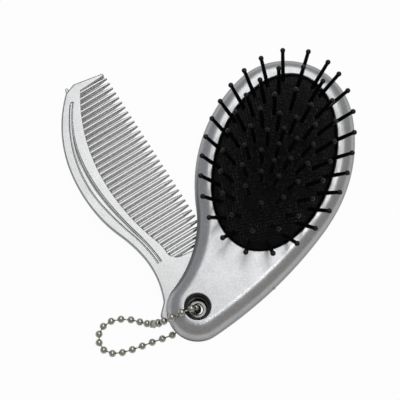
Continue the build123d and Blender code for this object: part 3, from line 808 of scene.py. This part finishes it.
# Pins
def pin_profile(length):
    """Pin from its flat head to its ball tip, slightly thicker at the skin, in metres."""
    shaft_end = length - 2 * PIN_BALL_RADIUS
    neck = 1 - (PIN_NECK_RADIUS / PIN_BALL_RADIUS) ** 2
    ball_start = length - PIN_BALL_RADIUS * (1 + sqrt(neck))
    points = [
        *((PIN_HEAD_RADIUS * wide, PIN_HEAD_THICKNESS * high) for wide, high in HEAD_OUTLINE),
        (PIN_FOOT_RADIUS, PIN_HEAD_THICKNESS * FOOT_START),
        (PIN_FOOT_RADIUS, length * PIN_TAPER_START),
        (PIN_SHAFT_RADIUS, length * PIN_TAPER_END),
        (PIN_SHAFT_RADIUS * SHAFT_SLIMMING, length * SHAFT_MIDDLE),
        (PIN_NECK_RADIUS, shaft_end * NECK_START),
        (PIN_NECK_RADIUS * NECK_FLARE, ball_start),
    ]
    neck_end = NECK_BLEND - latitude_at(PIN_NECK_RADIUS / PIN_BALL_RADIUS)
    centre = length - PIN_BALL_RADIUS
    for radius, z in arc_points(PIN_BALL_RADIUS, neck_end, TIP_LATITUDE, PIN_BALL_BANDS):
        points.append((radius, centre + z))
    points.append((0, length))
    return [(radius * MM, z * MM) for radius, z in points]


def make_pins():
    """Each ring of nylon pins as its own piece."""
    for node, axes in pins.items():
        def shape(bm):
            for foot, tip, direction in axes:
                lathe(bm, pin_profile((tip - foot).length / MM), facing(foot, direction), PIN_SEGMENTS)

        ring = add_piece(node.replace("pins", "nylon_pins"), shape, "pad", pin_black)
        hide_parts(node)


make_cushion()
make_pins()
dress_nodes()


# Floor, light and surroundings
def add_floor():
    """White floor that shows as white and keeps a soft shadow."""
    material, tree, place = new_material("floor_white")
    path = add_node(tree, "ShaderNodeLightPath").outputs
    seen = add_node(
        tree,
        "ShaderNodeMath",
        {0: path["Is Camera Ray"], 1: path["Is Transmission Ray"]},
        operation="MAXIMUM",
    ).outputs[0]
    share = add_node(
        tree, "ShaderNodeMath", {0: seen, 1: CAMERA_SHARE}, operation="MULTIPLY"
    ).outputs[0]
    share = add_node(
        tree,
        "ShaderNodeMath",
        {0: path["Is Glossy Ray"], 1: GLOSSY_SHARE, 2: share},
        operation="MULTIPLY_ADD",
    )
    paper = colours_between(tree, noise_at(tree, place, MOTTLE_SIZE), PAPER_DARK, PAPER_LIGHT)
    diffuse = add_node(tree, "ShaderNodeBsdfDiffuse", {"Color": paper})
    glow = add_node(tree, "ShaderNodeEmission", {"Color": (1, 1, 1, 1), "Strength": 1.0})
    mixed = add_node(
        tree,
        "ShaderNodeMixShader",
        {0: share.outputs[0], 1: diffuse.outputs["BSDF"], 2: glow.outputs["Emission"]},
    )
    add_node(tree, "ShaderNodeOutputMaterial", {"Surface": mixed.outputs["Shader"]})
    bm = bmesh.new()
    bmesh.ops.create_circle(bm, cap_ends=True, segments=FLOOR_SEGMENTS, radius=FLOOR_RADIUS)
    data = bpy.data.meshes.new("floor")
    bm.to_mesh(data)
    bm.free()
    data.materials.append(material)
    floor = bpy.data.objects.new("floor", data)
    floor.location.z = -FLOOR_DROP
    bpy.context.scene.collection.objects.link(floor)


def add_softbox(name, place, azimuth, size, power):
    """Soft lamp at a place in metres, aimed at the brush, its long side along an azimuth from +X."""
    towards = Vector(place).normalized()
    turn = radians(azimuth)
    across = Vector((cos(turn), sin(turn), 0)).cross(towards).normalized()
    long_side = towards.cross(across)
    data = bpy.data.lights.new(name, "AREA")
    data.shape = "RECTANGLE"
    data.size, data.size_y = size
    data.energy = power
    lamp = bpy.data.objects.new(name, data)
    turned = Matrix((across, long_side, towards)).transposed().to_4x4()
    lamp.matrix_world = Matrix.Translation(place) @ turned
    bpy.context.scene.collection.objects.link(lamp)


def add_surroundings():
    """Plain grey studio, slightly cool behind the brush's left and slightly warm at its right."""
    world = bpy.data.worlds.new("studio")
    world.use_nodes = True
    tree = world.node_tree
    tree.nodes.clear()
    direction = add_node(tree, "ShaderNodeTexCoord").outputs["Generated"]
    side = add_node(
        tree, "ShaderNodeVectorMath", {0: direction, 1: WARM_SIDE}, operation="DOT_PRODUCT"
    ).outputs["Value"]
    warmth = spread(tree, side, low=0, high=1, start=-1, end=1)
    tint = colours_between(tree, warmth, COOL_GREY, WARM_GREY)
    background = add_node(tree, "ShaderNodeBackground", {"Color": tint, "Strength": 1.0})
    add_node(tree, "ShaderNodeOutputWorld", {"Surface": background.outputs["Background"]})
    bpy.context.scene.world = world


add_floor()
add_surroundings()
for lamp_name, lamp_settings in LAMPS.items():
    add_softbox(lamp_name, *lamp_settings)

bpy.context.scene.view_settings.view_transform = "Standard"
